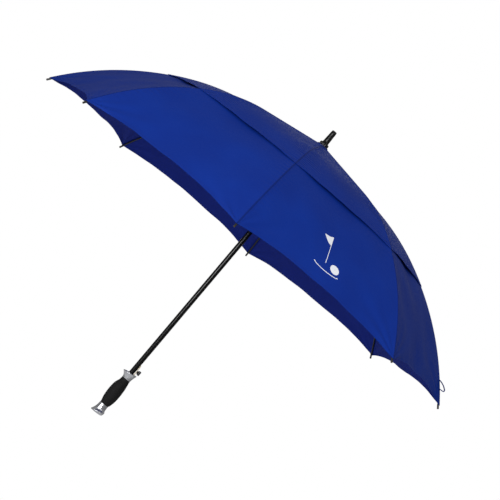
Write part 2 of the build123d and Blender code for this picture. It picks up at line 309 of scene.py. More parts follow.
def clothColour(t, colour, deep, grain, edge, thread):
    # mottled between two depths, with painted shade in the hem's fold and painted shade along the seam, and the
    # thread on top
    mottled = t.mixColour(t.stretch(grain["Broad"], 0.35, 0.65), deep, colour)
    # painted shade in the hem's fold: the colour there is drawn 35% towards the deep tone
    hemFoldShade = t.math("MULTIPLY", t.stretch(edge[1], clothLook["hemFold"], clothLook["hemFold"] - 0.001), 0.35)
    # painted shade along the seams: a narrow band beside each seam turns towards a dark blue
    seamShadeBand = t.stretch(edge[0], clothLook["seamDark"], clothLook["seamDark"] - 0.001)
    seamShadeAmount = t.math("MULTIPLY", seamShadeBand, clothLook["seamDarkShare"])
    seamShadeColour = tuple(0.4 * value for value in deep[:3]) + (1.0,)
    paintedShadeColour = t.mixColour(seamShadeAmount, t.mixColour(hemFoldShade, mottled, deep), seamShadeColour)
    return t.mixColour(t.math("MULTIPLY", thread, 0.8), paintedShadeColour, clothLook["thread"])


def creases(t, place, edge, along):
    # close parallel creases that run off the seams: a sine down the cloth, bent and broken by noise
    bend = stretchedNoise(t, place, clothLook["crease"])
    turns = t.math("MULTIPLY", bend, clothLook["creaseBend"])
    wave = t.math("SINE", t.math("MULTIPLY_ADD", along, 6.28318 / clothLook["creasePitch"], turns))
    beside = t.math("MULTIPLY", t.stretch(edge[0], 0.001, 0.010), t.stretch(edge[0], 0.075, 0.012))
    where = t.math("MULTIPLY", t.stretch(bend, 0.40, 0.56), t.stretch(along, 0.07, 0.15))
    return t.math("MULTIPLY", wave, t.math("MULTIPLY", beside, where))


def clothHeight(t, place, grain, edge, thread):
    # the weave, the stitches, a broad unevenness, and pucker that dies away from the seam and the hem
    weave = useGroup(t, "weave", {"Place": place, "Pitch": clothLook["weavePitch"]})
    nearSeam = t.math("EXPONENT", t.math("MULTIPLY", edge[0], clothLook["seamFade"]))
    nearHem = t.math("EXPONENT", t.math("MULTIPLY", edge[1], clothLook["hemFade"]))
    ripple = stretchedNoise(t, place, clothLook["pucker"])
    pucker = t.math("MULTIPLY", ripple, t.math("MAXIMUM", nearSeam, nearHem))
    height = t.math("MULTIPLY", pucker, clothLook["puckerHeight"])
    height = t.math("MULTIPLY_ADD", weave["Height"], clothLook["weaveHeight"], height)
    height = t.math("MULTIPLY_ADD", thread, clothLook["threadHeight"], height)
    return t.math("MULTIPLY_ADD", grain["Broad"], clothLook["broadHeight"], height)


def clothMaterial(name, colour, deep, gloss, creased=False):
    # woven cloth with dashed thread beside its seams and hems; its two maps hold metres
    material, t, shader = newMaterial(
        name, **{"Sheen Weight": 0.002, "Sheen Roughness": 0.35, "Sheen Tint": clothLook["sheenTint"],
                 "Specular IOR Level": gloss})
    place = t.add("ShaderNodeUVMap", uv_map="cloth").outputs[0]
    edge = t.add("ShaderNodeSeparateXYZ", {0: t.add("ShaderNodeUVMap", uv_map="edge").outputs[0]}).outputs
    along = t.add("ShaderNodeSeparateXYZ", {0: place}).outputs
    objectPlace = t.add("ShaderNodeTexCoord").outputs["Object"]
    grain = useGroup(t, "grain", {"Place": objectPlace, "Scale": 9.0, "Fine": 220.0})
    seamThread = {"Distance": edge[0], "Along": along[1], "Line": clothLook["seamStitches"]}
    hemThread = {"Distance": edge[1], "Along": along[0], "Line": clothLook["hemStitches"]}
    seam = useGroup(t, "stitches", seamThread)
    hem = useGroup(t, "stitches", hemThread)
    thread = t.math("MAXIMUM", seam["Mask"], hem["Mask"])
    t.link(clothColour(t, colour, deep, grain, edge, thread), shader.inputs["Base Color"])
    t.link(t.stretch(grain["Fine"], 0.3, 0.7, 0.62, 0.74), shader.inputs["Roughness"])
    height = clothHeight(t, place, grain, edge, thread)
    if creased:
        crease = creases(t, place, edge, along[1])
        height = t.math("MULTIPLY_ADD", crease, clothLook["creaseHeight"], height)
    surface = t.add("ShaderNodeBump", {"Height": height, "Strength": 0.9, "Distance": 1.0})
    t.link(surface.outputs[0], shader.inputs["Normal"])
    return material


def markMaterial():
    # printed ink: white, a little broken by the cloth under it
    material, t, shader = newMaterial("markInk", **{"Specular IOR Level": 0.3})
    place = t.add("ShaderNodeTexCoord").outputs["Object"]
    grain = useGroup(t, "grain", {"Place": place, "Scale": 120.0, "Fine": 1400.0})
    ink = t.mixColour(t.stretch(grain["Fine"], 0.3, 0.7), (0.78, 0.80, 0.88, 1), (0.90, 0.91, 0.95, 1))
    t.link(ink, shader.inputs["Base Color"])
    t.link(t.stretch(grain["Broad"], 0.3, 0.7, 0.45, 0.6), shader.inputs["Roughness"])
    surface = t.add("ShaderNodeBump", {"Height": grain["Fine"], "Strength": 0.2, "Distance": 0.0002})
    t.link(surface.outputs[0], shader.inputs["Normal"])
    return material


# grain is the bump's depth, then the broad and fine noise; wear is how far a rubbed edge turns to worn
finishes = {
    "blackGloss": {"colour": (0.0018, 0.0018, 0.0020, 1), "worn": (0.01, 0.01, 0.01, 1),
                   "rough": (0.17, 0.20), "grain": (0.000001, 40, 300), "wear": 0.04,
                   "shader": {"Specular IOR Level": 0.28}},
    "blackPlastic": {"colour": (0.008, 0.008, 0.009, 1), "worn": (0.05, 0.05, 0.05, 1),
                     "rough": (0.34, 0.48), "grain": (0.00006, 120, 1600), "wear": 0.5, "shader": {}},
    "navyPlastic": {"colour": (0.006, 0.011, 0.075, 1), "worn": (0.03, 0.04, 0.14, 1),
                    "rough": (0.35, 0.5), "grain": (0.00005, 120, 1500), "wear": 0.4, "shader": {}},
    "ribFibre": {"colour": (0.007, 0.007, 0.0075, 1), "worn": (0.04, 0.04, 0.04, 1), "rough": (0.26, 0.40),
                 "grain": (0.00003, 200, 1800), "wear": 0.4, "shader": {}},
    "tipBrass": {"colour": (0.055, 0.042, 0.022, 1), "worn": (0.16, 0.13, 0.07, 1), "rough": (0.35, 0.5),
                 "grain": (0.00004, 300, 1800), "wear": 0.8, "shader": {"Metallic": 0.6}},
    "steel": {"colour": (0.42, 0.42, 0.43, 1), "worn": (0.6, 0.6, 0.6, 1), "rough": (0.22, 0.36),
              "grain": (0.00003, 150, 1500), "wear": 0.5, "shader": {"Metallic": 1.0}},
    "silver": {"colour": (0.66, 0.67, 0.70, 1), "worn": (0.80, 0.80, 0.82, 1), "rough": (0.24, 0.30),
               "grain": (0.000002, 60, 500), "wear": 0.5, "shader": {"Metallic": 1.0}},
    "gripRubber": {"colour": (0.0055, 0.0055, 0.0055, 1), "worn": (0.012, 0.012, 0.012, 1),
                   "rough": (0.66, 0.80), "grain": (0.00008, 90, 1300), "wear": 0.5,
                   "shader": {"Specular IOR Level": 0.25}},
    "creamPlastic": {"colour": (0.62, 0.54, 0.38, 1), "worn": (0.72, 0.66, 0.52, 1), "rough": (0.34, 0.48),
                     "grain": (0.00004, 120, 1300), "wear": 0.5,
                     "shader": {"Subsurface Weight": 0.1, "Subsurface Scale": 0.003}},
}


def solidMaterial(name, finish):
    # moulded plastic, paint or metal: fine mottling, rubbed edges and uneven gloss
    material, t, shader = newMaterial(name, **finish["shader"])
    place = t.add("ShaderNodeTexCoord").outputs["Object"]
    depth, scale, fine = finish["grain"]
    grain = useGroup(t, "grain", {"Place": place, "Scale": scale, "Fine": fine})
    wear = useGroup(t, "edgeWear", {"Place": place, "Scale": scale * 4})
    darker = tuple(0.82 * value for value in finish["colour"][:3]) + (1.0,)
    mottled = t.mixColour(t.stretch(grain["Broad"], 0.3, 0.7), darker, finish["colour"])
    rubbed = t.math("MULTIPLY", wear["Mask"], finish["wear"])
    t.link(t.mixColour(rubbed, mottled, finish["worn"]), shader.inputs["Base Color"])
    t.link(t.stretch(grain["Broad"], 0.3, 0.7, *finish["rough"]), shader.inputs["Roughness"])
    surface = t.add("ShaderNodeBump", {"Height": grain["Fine"], "Strength": 0.5, "Distance": depth})
    t.link(surface.outputs[0], shader.inputs["Normal"])
    return material


outside, outsideDeep, inside = clothLook["outside"], clothLook["outsideDeep"], clothLook["inside"]
materials = {name: solidMaterial(name, finish) for name, finish in finishes.items()}
materials["cloth"] = clothMaterial("cloth", outside, outsideDeep, 0.11)
materials["ventCloth"] = clothMaterial("ventCloth", outside, outsideDeep, 0.11, creased=True)
# the underside: a darker copy of the cloth, painted shade
materials["clothInside"] = clothMaterial("clothInside", inside, inside, 0.12)
materials["markInk"] = markMaterial()
slotMaterials = {
    "black_gloss": "blackGloss", "navy_plastic": "navyPlastic", "black_plastic": "blackPlastic",
    "steel": "steel", "cream_plastic": "creamPlastic", "rib_fibre": "ribFibre",
}
print("materials made")


# canopy

canopy = {
    "ribs": 8,
    "startSlope": 10.3, "straightFor": 0.220,    # degrees down at the crown, and the rib's straight length
    "innerCurve": 0.580, "outerCurve": 0.765,    # bending radii of a rib, inside and outside its flex joint
    "flexAt": 0.362, "ribLength": 0.745, "ventLength": 0.434, "lowerStart": 0.293,
    "lowerHeight": 0.0036, "ventHeight": 0.0049, "thickness": 0.0005,
    "hemRise": 0.027, "ventRise": 0.008,         # how far a hem is cut back between two ribs
    "lowerSag": 0.022, "ventSag": 0.008,         # share of the half gap that the cloth is drawn in by
    "hemFold": 0.0085, "hemFoldRaise": (0.0002, 0.0003),     # its width, and what it adds above and below
    "cutReach": 0.050,
    "seamWidth": 0.0036, "seamRidge": 0.0005,
    "puckerHeight": 0.00035, "puckerPitch": 0.017, "puckerFrom": 0.008,
    "rippleHeight": 0.0011,
    "ripples": [(1.0, 0.031, 0.060), (1.0, 0.052, -0.034), (0.7, 0.110, 0.021)],   # share, along, sideways
    "fluteHeight": 0.0004, "flutePitch": 0.0105, "fluteFade": 0.030,
    "ventLift": 0.0030, "ventLiftFrom": 0.28,    # the loose hem of the vent stands off between the ribs
    "pullHeight": 0.0042, "pulls": 13.0, "pullFrom": 0.035, "pullFade": 0.085,
    "columns": 33, "crowding": 0.13,
}
halfGap = np.pi / canopy["ribs"]
startSlope = np.radians(canopy["startSlope"])
flexSlope = startSlope + (canopy["flexAt"] - canopy["straightFor"]) / canopy["innerCurve"]
hingeRadius, _, hingeHeight = joints["canopy_fold"]["pos_m"]
rng = np.random.default_rng(11)
gapPhase = rng.uniform(0, 2 * np.pi, (canopy["ribs"], 6))
gapSize = rng.uniform(0.6, 1.2, (canopy["ribs"], 6))
seamPhase = rng.uniform(0, 2 * np.pi, (canopy["ribs"], 2, 4))


def ribCurve(along, height):
    # a straight length and two arcs: past the straight the slope grows evenly, at one rate up to the flex
    # joint and another after it
    inner, outer, straight = canopy["innerCurve"], canopy["outerCurve"], canopy["straightFor"]
    knee = np.clip(along - straight, 0.0, canopy["flexAt"] - straight) / inner
    slope = startSlope + knee + np.maximum(along - canopy["flexAt"], 0.0) / outer
    first, second = np.minimum(slope, flexSlope), np.maximum(slope, flexSlope)
    level = np.minimum(along, straight)
    radius = level * np.cos(startSlope) + inner * (np.sin(first) - np.sin(startSlope))
    rise = inner * (np.cos(first) - np.cos(startSlope)) - level * np.sin(startSlope)
    radius = radius + outer * (np.sin(second) - np.sin(flexSlope)) + height * np.sin(slope)
    rise = rise + outer * (np.cos(second) - np.cos(flexSlope)) + height * np.cos(slope)
    return hingeRadius + radius, hingeHeight + rise, slope


def lengthAtRadius(radius):
    # the outer arc's radius formula turned round
    start = ribCurve(np.array(canopy["flexAt"]), 0.0)[0]
    slope = np.arcsin((radius - start) / canopy["outerCurve"] + np.sin(flexSlope))
    return canopy["flexAt"] + canopy["outerCurve"] * (slope - flexSlope)


def cutLine(share):
    # the line through the flex joint, square to the rib, eased back before it reaches the vent's hem
    start = ribCurve(np.array(canopy["flexAt"]), 0.0)[0]
    ahead = lengthAtRadius(start / (1 - share * np.sin(halfGap) ** 2)) - canopy["flexAt"]
    return canopy["flexAt"] + canopy["cutReach"] * (1 - np.exp(-ahead / canopy["cutReach"]))


def hemLine(length, rise, share):
    # a cubic: the full length at the rib, cut back quickly beside it and by rise in the middle of the gap
    return length - rise * (1 - (1 - share) ** 3)


def ribAxes(rib, side):
    # unit vectors along the middle of the gap beside this rib, and from the rib across to that middle
    middle = (2 * rib + side) * halfGap
    toMiddle = np.array([np.cos(middle), np.sin(middle), 0.0])
    across = side * np.array([-np.sin(middle), np.cos(middle), 0.0])
    return toMiddle, across


def clothRelief(rib, side, along, share, hemAt, isVent):
    # height of seams, puckers, ripples and pulls over the plain sheet, the same from both sides of a cut
    half = ribCurve(along, 0.0)[0] * np.sin(halfGap)
    fromSeam = half * share
    fromHem = hemAt - along
    gap = rib if side > 0 else (rib - 1) % canopy["ribs"]
    u = -side * (1 - share)
    x = u * half
    phase, size = gapPhase[gap], gapSize[gap]
    seam = seamPhase[rib][0 if side > 0 else 1]
    ridge = canopy["seamRidge"] * smoothStep(1.6 - fromSeam / canopy["seamWidth"])
    # waves along the seam, strongest a little way from it
    drift = seam[0] + 1.6 * np.sin(along / 0.041 + seam[1])
    wave = np.sin(2 * np.pi * along / canopy["puckerPitch"] + drift)
    wave *= 0.55 + 0.45 * np.sin(along / 0.067 + seam[2])
    away = fromSeam / canopy["puckerFrom"]
    pucker = canopy["puckerHeight"] * wave * away * np.exp(1 - away)
    inside = smoothStep(share / 0.35)
    ripple = sum(part * size[i] * np.sin(along / down + x / over + phase[i])
                 for i, (part, down, over) in enumerate(canopy["ripples"]))
    ripple *= canopy["rippleHeight"] * inside * (0.45 if isVent else 1.0)
    # the hem draws the cloth into short flutes
    flute = np.sin(x / canopy["flutePitch"] + phase[3] + 1.2 * np.sin(x / 0.047 + phase[4]))
    flute *= canopy["fluteHeight"] * size[4] * inside * np.exp(-fromHem / canopy["fluteFade"])
    relief = ridge + pucker + ripple + flute
    if isVent:
        nearHem = smoothStep((along - canopy["ventLiftFrom"]) / 0.15)
        relief += canopy["ventLift"] * (1 - (1 - share) ** 2) * nearHem
    else:
        # pulls that fan out from the rib's tip
        reach = canopy["ribLength"] - along
        away = np.hypot(reach, fromSeam)
        angle = np.arctan2(fromSeam, np.maximum(reach, 1e-4))
        fan = np.sin(canopy["pulls"] * angle + 0.8 * np.sin(away / 0.05 + seam[0]))
        fan *= np.sin(np.minimum(angle, 1.4)) * smoothStep(away / canopy["pullFrom"])
        relief += canopy["pullHeight"] * size[5] * fan * np.exp(-away / canopy["pullFade"])
    return relief


def clothPoints(rib, side, along, share, height, sag, relief=0.0):
    # the rib's curve swept straight across to the middle of the gap, drawn in by sag there, plus the relief
    radius, rise, slope = ribCurve(along, height)
    half = radius * np.sin(halfGap)
    drop = sag * half * (1 - (1 - share) ** 2) - relief
    toMiddle, across = ribAxes(rib, side)
    outward = (radius * np.cos(halfGap) - drop * np.sin(slope))[..., None] * toMiddle
    sideways = (-(1 - share) * half)[..., None] * across
    return outward + sideways + (rise - drop * np.cos(slope))[..., None] * zUp


def addMaps(mesh, maps):
    # one UV map a name, its values given by vertex and repeated for a sheet's underside
    corner = np.empty(len(mesh.loops), np.int32)
    mesh.loops.foreach_get("vertex_index", corner)
    for label, values in maps.items():
        flat = values.reshape(-1, 2)
        chosen = flat[corner % len(flat)].astype(np.float32)
        mesh.uv_layers.new(name=label).data.foreach_set("uv", chosen.ravel())


def closedSheet(name, top, bottom, side, maps, looks):
    # a top and a bottom grid of the same size, joined round their rim; the bottom takes the last look
    rows, columns = top.shape[:2]
    count = rows * columns
    quads = gridFaces(rows, columns)
    index = np.arange(count).reshape(rows, columns)
    rim = np.concatenate([index[:-1, 0], index[-1, :-1], index[:0:-1, -1], index[0, :0:-1]])
    after = np.roll(rim, -1)
    walls = np.stack([after, rim, rim + count, after + count], -1)
    faces = np.concatenate([quads, quads[:, ::-1] + count, walls])
    if side < 0:
        faces = faces[:, ::-1]
    points = np.vstack([top.reshape(-1, 3), bottom.reshape(-1, 3)])
    piece = makePiece(name, points, [faces], 50.0)
    mesh = piece.data
    addMaps(mesh, maps)
    chosen = np.zeros(len(faces), np.int32)
    chosen[len(quads):2 * len(quads)] = len(looks) - 1
    mesh.polygons.foreach_set("material_index", chosen)
    for look in looks:
        mesh.materials.append(materials[look])
    return piece


def foldFabric(piece):
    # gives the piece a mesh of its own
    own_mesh(piece)


clothKinds = {
    "ventInner": {"vent": True, "outer": False, "start": -0.0035, "step": 0.0040},
    "ventOuter": {"vent": True, "outer": True, "start": None, "step": 0.0030},
    "lowerStrip": {"vent": False, "outer": False, "start": canopy["lowerStart"], "step": 0.0045},
    "lowerMain": {"vent": False, "outer": True, "start": None, "step": 0.0030},
}


def clothPiece(kindName, rib, side):
    kind = clothKinds[kindName]
    vent = kind["vent"]
    t = np.linspace(0.0, 1.0, canopy["columns"])
    share = t - canopy["crowding"] * np.sin(2 * np.pi * t)   # columns close up towards both sides
    length, rise = ("ventLength", "ventRise") if vent else ("ribLength", "hemRise")
    hem = hemLine(canopy[length], canopy[rise], share)
    cut = cutLine(share)
    low = cut if kind["start"] is None else np.full_like(share, kind["start"])
    high = hem if kind["outer"] else cut
    rows = int(np.ceil((high - low).max() / kind["step"])) + 1
    v = np.linspace(0.0, 1.0, rows)[:, None]
    along = low + (high - low) * v
    share = np.broadcast_to(share, along.shape)
    hemAt = np.broadcast_to(hem, along.shape)
    relief = clothRelief(rib, side, along, share, hemAt, vent)
    height = canopy["ventHeight" if vent else "lowerHeight"]
    sag = canopy["ventSag" if vent else "lowerSag"]
    hemFold = smoothStep((canopy["hemFold"] - (hemAt - along)) / 0.001)
    above, below = canopy["hemFoldRaise"]
    top = clothPoints(rib, side, along, share, height, sag, relief + above * hemFold)
    under = relief - canopy["thickness"] - below * hemFold
    bottom = clothPoints(rib, side, along, share, height, sag, under)
    fromSeam = ribCurve(along, height)[0] * np.sin(halfGap) * share
    maps = {
        "cloth": np.stack([side * fromSeam, along], -1),
        "edge": np.stack([fromSeam, hemAt - along], -1),
    }
    name = f"{kindName}.{rib + 1}{'a' if side > 0 else 'b'}"
    piece = closedSheet(name, top, bottom, side, maps, ["ventCloth" if vent else "cloth", "clothInside"])
    body = f"rib_outer_{rib + 1}" if kind["outer"] else f"rib_{rib + 1}"
    if kindName == "ventInner":
        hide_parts(f"vent_panel_{rib + 1}")
    if kindName == "lowerMain":
        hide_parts(f"canopy_panel_{rib + 1}")
    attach(piece, body)
    foldFabric(piece)


for rib in range(canopy["ribs"]):
    for side in (1, -1):
        for kindName in clothKinds:
            clothPiece(kindName, rib, side)
print("canopy cloth made")


# printed mark: a flag in a hole and a ball, on the gap after the seventh rib

mark = {
    "rib": 6, "along": 0.622,                    # the rib before it, and how far down the gap it is
    "above": 0.00027, "below": -0.0001,          # the ink's two faces over the cloth
    "pole": {"out": 0.006, "width": 0.0016, "reach": 0.060},
    "flag": {"width": 0.026, "height": 0.030},
    "ball": {"out": 0.022, "down": 0.030, "radius": 0.013},
    "ground": {"halfWidth": 0.038, "sag": 0.0075, "down": 0.046, "gap": 0.0002},
}


def turnsLeft(across, along):
    # whether the grid's area is negative in (distance along, distance across)
    flat = np.stack(np.broadcast_arrays(along, across))
    downStep, sideStep = np.diff(flat, axis=1)[:, :, :-1], np.diff(flat)[:, :-1]
    return (downStep[0] * sideStep[1] - downStep[1] * sideStep[0]).sum() < 0


def markPatch(name, side, across, down):
    # a flat shape's grid (distance from the middle of the gap, distance along it) laid on the cloth
    rib = mark["rib"] if side > 0 else mark["rib"] + 1
    along, height = mark["along"] + down, canopy["lowerHeight"]
    share = 1 - across / (ribCurve(along, height)[0] * np.sin(halfGap))
    hemAt = hemLine(canopy["ribLength"], canopy["hemRise"], share)
    relief = clothRelief(rib, side, along, share, hemAt, False)
    top, bottom = (clothPoints(rib, side, along, share, height, canopy["lowerSag"], relief + mark[level])
                   for level in ("above", "below"))
    maps = {"cloth": np.stack([side * across, along], -1), "edge": np.stack([across, hemAt - along], -1)}
    order = side if turnsLeft(across, along) else -side
    piece = closedSheet(name, top, bottom, order, maps, ["markInk"])
    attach(piece, f"rib_outer_{rib + 1}")
    foldFabric(piece)


def makeMark():
    v, u = np.meshgrid(np.linspace(0, 1, 41), np.linspace(0, 1, 13), indexing="ij")
    pole, flag, ball, ground = mark["pole"], mark["flag"], mark["ball"], mark["ground"]
    # pole: a narrow strip down the gap, just on this side of its middle
    poleDown = -pole["reach"] + 1.5 * pole["reach"] * v
    markPatch("markPole", 1, pole["out"] + pole["width"] * (1 - u), poleDown)
    # flag: a triangle off the pole, its edges waved
    flagOut = pole["out"] + pole["width"] + flag["width"] * v + 0.0015 * np.sin(3 * v)
    flagDown = -pole["reach"] + flag["height"] * (0.5 * v + (1 - v) * (1 - u)) + 0.002 * np.sin(5 * v)
    markPatch("markFlag", 1, flagOut, flagDown)
    # ball: a disc from its middle outwards
    angle = 2 * np.pi * np.linspace(0, 1, 41)[:, None]
    ring = ball["radius"] * np.linspace(0.05, 1.0, 13)[None, :]
    markPatch("markBall", -1, ball["out"] + ring * np.cos(angle), ball["down"] - ring * np.sin(angle))
    # ground: half an oval line each side of the middle
    turn = np.pi / 2 * np.linspace(0, 1, 41)[:, None]
    band = np.linspace(0.90, 1.0, 5)[None, :]
    groundOut = ground["gap"] + ground["halfWidth"] * band * np.sin(turn)
    groundDown = ground["down"] + ground["sag"] * band ** 3 * np.cos(turn)
    for side, letter in ((1, "A"), (-1, "B")):
        markPatch(f"markGround{letter}", side, groundOut, groundDown)


makeMark()
print("printed mark made")


# tie strap: a short band doubled back on itself, sewn to the seam of the first rib

strap = {
    # back from the rib's end, out from the rib
    "rows": [(0.0660, 0.0036), (0.0610, 0.0075), (0.0530, 0.0120), (0.0440, 0.0150), (0.0385, 0.0155),
             (0.0365, 0.0130), (0.0390, 0.0085), (0.0420, 0.0042)],
    "halfWidth": 0.0065, "thickness": 0.0021,
}


def makeStrap():
    rows = smoothRows(strap["rows"], 60)
    radius, rise, _ = ribCurve(canopy["ribLength"] - rows[:, 0], rows[:, 1])
    path = np.stack([radius, np.zeros_like(radius), rise], -1)
    halfWidth, widthways = strap["halfWidth"], np.array([0.0, 1.0, 0.0])
    piece = sweptBand("strapBand", path, widthways, halfWidth, strap["thickness"])
    points = np.empty(len(piece.data.vertices) * 3)
    piece.data.vertices.foreach_get("co", points)
    y, z = points[1::3], points[2::3]
    maps = {
        "cloth": np.stack([y, z], -1),
        "edge": np.stack([halfWidth - np.abs(y), np.full_like(y, 0.05)], -1),     # no hem near
    }
    addMaps(piece.data, maps)
    piece.data.materials.append(materials["cloth"])
    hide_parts("tie_strap")
    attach(piece, "rib_outer_1")


makeStrap()
print("tie strap made")


# handle

grip = {
    "rows": [(0.0320, 0.0124, -0.0015), (0.0350, 0.0134, -0.0009), (0.0420, 0.0153, -0.0009),
             (0.0500, 0.0169, -0.0009), (0.0610, 0.0180, -0.0010), (0.0720, 0.0183, -0.0012),
             (0.0840, 0.0178, -0.0012), (0.0950, 0.0167, -0.0010), (0.1015, 0.0149, -0.0003),
             (0.1060, 0.0136, 0.0002), (0.1120, 0.0126, 0.0001), (0.1180, 0.0121, 0.0000)],
    "ridgePitch": 0.0030, "ridgeDepth": 0.00065, "columns": 96, "count": 420,
}


def makeGrip():
    # rings follow the rows; fine ridges run round it and fade out at both ends
    rows = smoothRows(grip["rows"], grip["count"])
    z, radius, centre = rows[:, :1], rows[:, 1:2], rows[:, 2:3]
    angle = np.linspace(0, 2 * np.pi, grip["columns"], endpoint=False)[None, :]
    fade = smoothStep((z - z[0]) / 0.004) * smoothStep((z[-1] - z) / 0.006)
    ridge = np.abs(np.sin(np.pi * z / grip["ridgePitch"])) ** 0.6 - 0.5
    around = radius + grip["ridgeDepth"] * ridge * fade
    levels = np.broadcast_to(z, (grip["count"], grip["columns"]))
    rings = np.stack([centre + around * np.cos(angle), around * np.sin(angle), levels], -1)
    piece = turnedSolid("gripSleeve", rings, 60.0)
    piece.data.materials.append(materials["gripRubber"])
    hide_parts("grip")
    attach(piece, "handle_and_shaft")


def tiltedRings(rows, count, columns):
    # rows are (height, radius, centre, tilt in degrees); a positive tilt lowers the -X side
    rows = smoothRows(rows, count)
    z, radius, centre, tilt = (rows[:, i:i + 1] for i in range(4))
    angle = np.linspace(0, 2 * np.pi, columns, endpoint=False)[None, :]
    out = radius * np.cos(angle)
    lean = np.radians(tilt)
    return np.stack([centre + out * np.cos(lean), radius * np.sin(angle), z + out * np.sin(lean)], -1)


collar = {
    "outside": [(0.1181, 0.0120, 0.0000, 0.0), (0.1190, 0.0124, 0.0000, 0.0),
                (0.1215, 0.0128, -0.0002, 0.6), (0.1240, 0.0135, -0.0004, 1.6),
                (0.1270, 0.0146, -0.0008, 3.2), (0.1300, 0.0161, -0.0013, 5.2),
                (0.1330, 0.0179, -0.0018, 7.0), (0.1351, 0.0191, -0.0022, 8.0),
                (0.1358, 0.0193, -0.0022, 8.3)],
    "lip": [(0.1358, 0.0193, -0.0022, 8.3), (0.1364, 0.0191, -0.0022, 8.3), (0.1366, 0.0187, -0.0022, 8.3),
            (0.1361, 0.0182, -0.0022, 8.3)],
    "inside": [(0.1361, 0.0182, -0.0022, 8.3), (0.1345, 0.0172, -0.0020, 7.6),
               (0.1322, 0.0156, -0.0016, 6.0), (0.1306, 0.0138, -0.0012, 3.0),
               (0.1300, 0.0122, -0.0008, 0.0)],
}
foot = {
    "sole": [(0.0016, 0.0040, 0.0010, 4.0), (0.0018, 0.0085, 0.0005, 4.5),
             (0.0026, 0.0130, -0.0008, 7.0), (0.0042, 0.0163, -0.0024, 11.0),
             (0.0062, 0.0182, -0.0034, 15.0)],
    "flare": [(0.0062, 0.0182, -0.0034, 15.0), (0.0070, 0.0187, -0.0035, 15.6),
              (0.0082, 0.0184, -0.0034, 15.0), (0.0108, 0.0168, -0.0030, 12.0),
              (0.0140, 0.0150, -0.0025, 7.5), (0.0180, 0.0138, -0.0022, 3.5),
              (0.0225, 0.0131, -0.0019, 0.8), (0.0280, 0.0128, -0.0018, 0.0),
              (0.0318, 0.0127, -0.0017, 0.0)],
}


def makeCollar():
    # the outside, over the lip, down the inside, and in to a flat floor
    wall = [tiltedRings(collar["outside"], 60, 96), tiltedRings(collar["lip"], 14, 96)[1:],
            tiltedRings(collar["inside"], 30, 96)[1:]]
    floor = wall[-1][-1:] * [0.6, 0.6, 1.0]
    piece = turnedSolid("collarCup", np.concatenate([*wall, floor]), 60.0)
    piece.data.materials.append(materials["silver"])
    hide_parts("handle_collar")
    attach(piece, "handle_and_shaft")


def makeFoot():
    # the domed sole out to its rim, then the flare up to the grip
    rings = np.concatenate([tiltedRings(foot["sole"], 24, 96), tiltedRings(foot["flare"], 80, 96)[1:]])
    piece = turnedSolid("footFlare", rings, 60.0)
    piece.data.materials.append(materials["silver"])
    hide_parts("handle_base")
    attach(piece, "handle_and_shaft")


makeGrip()
makeCollar()
makeFoot()
print("handle made")


# ferrule: a fluted ring under a tapering spike

ferrule = {
    "rows": [(0.9110, 0.0124), (0.9114, 0.0129), (0.9125, 0.0131), (0.9172, 0.0130), (0.9182, 0.0126),
             (0.9189, 0.0116), (0.9193, 0.0102), (0.9198, 0.0092), (0.9215, 0.0088), (0.9300, 0.0084),
             (0.9450, 0.0077), (0.9560, 0.0071), (0.9574, 0.0068), (0.9584, 0.0062), (0.9588, 0.0054)],
    "flutes": 14, "fluteDepth": 0.0006, "flats": 6, "flatDepth": 0.0002,
    "stepPitch": 0.0014, "stepDepth": 0.00006, "count": 150, "columns": 168,
}


def makeFerrule():
    # a lathe profile whose ring is scalloped and whose spike is cut by shallow flats and fine steps
    rows = smoothRows(ferrule["rows"], ferrule["count"])
    z, radius = rows[:, :1], rows[:, 1:2]
    angle = np.linspace(0, 2 * np.pi, ferrule["columns"], endpoint=False)[None, :]
    ringZone = smoothStep((0.9186 - z) / 0.0012)
    spikeZone = smoothStep((z - 0.9205) / 0.0020) * smoothStep((0.9560 - z) / 0.0030)
    scallop = 0.5 + 0.5 * np.cos(ferrule["flutes"] * angle)
    flats = 0.5 + 0.5 * np.cos(ferrule["flats"] * angle)
    steps = smoothStep(0.5 + 1.2 * np.sin(2 * np.pi * z / ferrule["stepPitch"]))
    steps = steps * smoothStep((0.9330 - z) / 0.004)
    around = radius - ferrule["fluteDepth"] * ringZone * scallop ** 3
    around = around - spikeZone * (ferrule["flatDepth"] * flats ** 2 + ferrule["stepDepth"] * steps)
    rings = np.stack([around * np.cos(angle), around * np.sin(angle), np.broadcast_to(z, around.shape)], -1)
    piece = turnedSolid("ferruleSpike", rings, 60.0)
    piece.data.materials.append(materials["blackGloss"])
    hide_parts("ferrule")
    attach(piece, "handle_and_shaft")


makeFerrule()
print("ferrule made")


# the other parts: smooth copies of the frame's own

def smoothCopy(node, materialName):
    # the node's triangles with their doubles merged, shaded smooth up to its edges
    source = frame["nodes"][node]
    work = bmesh.new()
    work.from_mesh(source.data)
    bmesh.ops.remove_doubles(work, verts=work.verts, dist=1e-6)
    mesh = bpy.data.meshes.new(node + "Skin")
    work.to_mesh(mesh)
    work.free()
    mesh.polygons.foreach_set("use_smooth", np.ones(len(mesh.polygons), bool))
    mesh.set_sharp_from_angle(angle=np.radians(32.0))
    mesh.materials.clear()
    mesh.materials.append(materials[materialName])
    piece = bpy.data.objects.new(node + "Skin", mesh)
    bpy.context.scene.collection.objects.link(piece)
    if node.startswith("rib_outer"):
        mesh.materials.append(materials["tipBrass"])
        centres = np.empty(len(mesh.polygons) * 3)
        mesh.polygons.foreach_get("center", centres)
        out = np.hypot(centres[0::3], centres[1::3])
        mesh.polygons.foreach_set("material_index", (out > out.max() - brassLength).astype(np.int32))
    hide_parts(node)
    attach(piece, bodyOf[node])
    return piece


brassLength = 0.0022      # of a rib's end
rebuilt = {"grip", "handle_collar", "handle_base", "ferrule", "tie_strap"}
for node in sorted(frame["nodes"]):
    if node in rebuilt or "_panel_" in node:
        continue
    smoothCopy(node, slotMaterials[frame["nodes"][node].material_slots[0].material.name])
print("frame parts finished")


# stage

